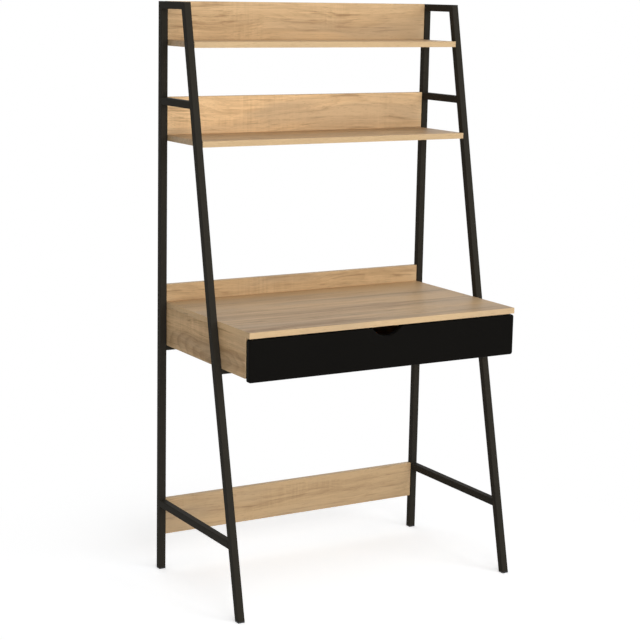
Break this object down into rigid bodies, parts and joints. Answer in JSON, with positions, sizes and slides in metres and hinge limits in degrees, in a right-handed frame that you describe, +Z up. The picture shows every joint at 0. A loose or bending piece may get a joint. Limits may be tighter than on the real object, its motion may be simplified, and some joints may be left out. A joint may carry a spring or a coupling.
{
  "type": "ladder desk",
  "caption": "Leaning ladder desk with black square-tube side frames, oak shelves with back boards, a desktop over a black-fronted drawer on roller slides, and a low stretcher board.",
  "frame": {"origin": "on the floor, under the middle of the bounding box", "axes": "+X to the right of someone who sits at the desk, +Y to the rear, +Z up"},
  "size_m": [0.878, 0.502, 1.6],
  "materials": {
    "black_steel": "satin powder coat",
    "black_plastic": "matte",
    "oak_board": "satin oak melamine",
    "black_front": "matte black lacquer",
    "drawer_board": "oak foil",
    "drawer_base": "thin hardboard with oak foil",
    "runner_steel": "white powder coat",
    "zinc_steel": "zinc plated",
    "white_nylon": "smooth",
    "beech": "bare"
  },
  "bodies": {
    "desk": {"left_upper_rear_post": "black_steel", "left_upper_front_post": "black_steel", "left_top_rail": "black_steel", "left_mid_rung": "black_steel", "left_lower_rear_leg": "black_steel", "left_lower_front_leg": "black_steel", "left_lower_rung": "black_steel", "right_upper_rear_post": "black_steel", "right_upper_front_post": "black_steel", "right_top_rail": "black_steel", "right_mid_rung": "black_steel", "right_lower_rear_leg": "black_steel", "right_lower_front_leg": "black_steel", "right_lower_rung": "black_steel", "front_cross_rail": "black_steel", "rear_cross_rail": "black_steel", "frame_bolts": "black_steel", "box_bolts": "black_steel", "left_rear_foot": "black_plastic", "left_front_foot": "black_plastic", "right_rear_foot": "black_plastic", "right_front_foot": "black_plastic", "seam_pin_plugs": "black_plastic", "seam_socket_plugs": "black_plastic", "top_shelf": "oak_board", "top_back_board": "oak_board", "mid_shelf": "oak_board", "mid_back_board": "oak_board", "desktop": "oak_board", "splash_board": "oak_board", "left_side_panel": "oak_board", "right_side_panel": "oak_board", "box_back_panel": "oak_board", "stretcher_board": "oak_board", "left_cabinet_runner": "runner_steel", "right_cabinet_runner": "runner_steel", "cabinet_roller_axles": "zinc_steel", "board_screws": "zinc_steel", "desktop_cam_discs": "zinc_steel", "desktop_cam_bolts": "zinc_steel", "rail_screws": "zinc_steel", "cabinet_runner_screws": "zinc_steel", "wood_dowels": "beech"},
    "drawer": {"drawer_front": "black_front", "drawer_left_side": "drawer_board", "drawer_right_side": "drawer_board", "drawer_back": "drawer_board", "drawer_bottom": "drawer_base", "left_drawer_runner": "runner_steel", "right_drawer_runner": "runner_steel", "drawer_roller_axles": "zinc_steel", "drawer_cam_discs": "zinc_steel", "drawer_cam_bolts": "zinc_steel", "drawer_back_screws": "zinc_steel", "drawer_runner_screws": "zinc_steel"},
    "left_front_roller": {"left_front_roller": "white_nylon"},
    "left_rear_roller": {"left_rear_roller": "white_nylon"},
    "right_front_roller": {"right_front_roller": "white_nylon"},
    "right_rear_roller": {"right_rear_roller": "white_nylon"}
  },
  "joints": [
    {"name": "drawer_slide", "type": "slide", "parent": "desk", "child": "drawer", "axis": [0, -1, 0], "range_m": [0, 0.3]},
    {"name": "left_front_roller_spin", "type": "hinge", "parent": "desk", "child": "left_front_roller", "pos_m": [-0.3968, -0.212, 0.6725], "axis": [1, 0, 0], "range_deg": [0, 1563]},
    {"name": "left_rear_roller_spin", "type": "hinge", "parent": "drawer", "child": "left_rear_roller", "pos_m": [-0.3968, 0.151, 0.6713], "axis": [1, 0, 0], "range_deg": [0, 1563]},
    {"name": "right_front_roller_spin", "type": "hinge", "parent": "desk", "child": "right_front_roller", "pos_m": [0.3968, -0.212, 0.6725], "axis": [1, 0, 0], "range_deg": [0, 1563]},
    {"name": "right_rear_roller_spin", "type": "hinge", "parent": "drawer", "child": "right_rear_roller", "pos_m": [0.3968, 0.151, 0.6713], "axis": [1, 0, 0], "range_deg": [0, 1563]}
  ],
  "couplings": [
    {"joint": "left_front_roller_spin", "follows": "drawer_slide", "rad_per_m": 90.909},
    {"joint": "left_rear_roller_spin", "follows": "drawer_slide", "rad_per_m": 90.909},
    {"joint": "right_front_roller_spin", "follows": "drawer_slide", "rad_per_m": 90.909},
    {"joint": "right_rear_roller_spin", "follows": "drawer_slide", "rad_per_m": 90.909}
  ]
}
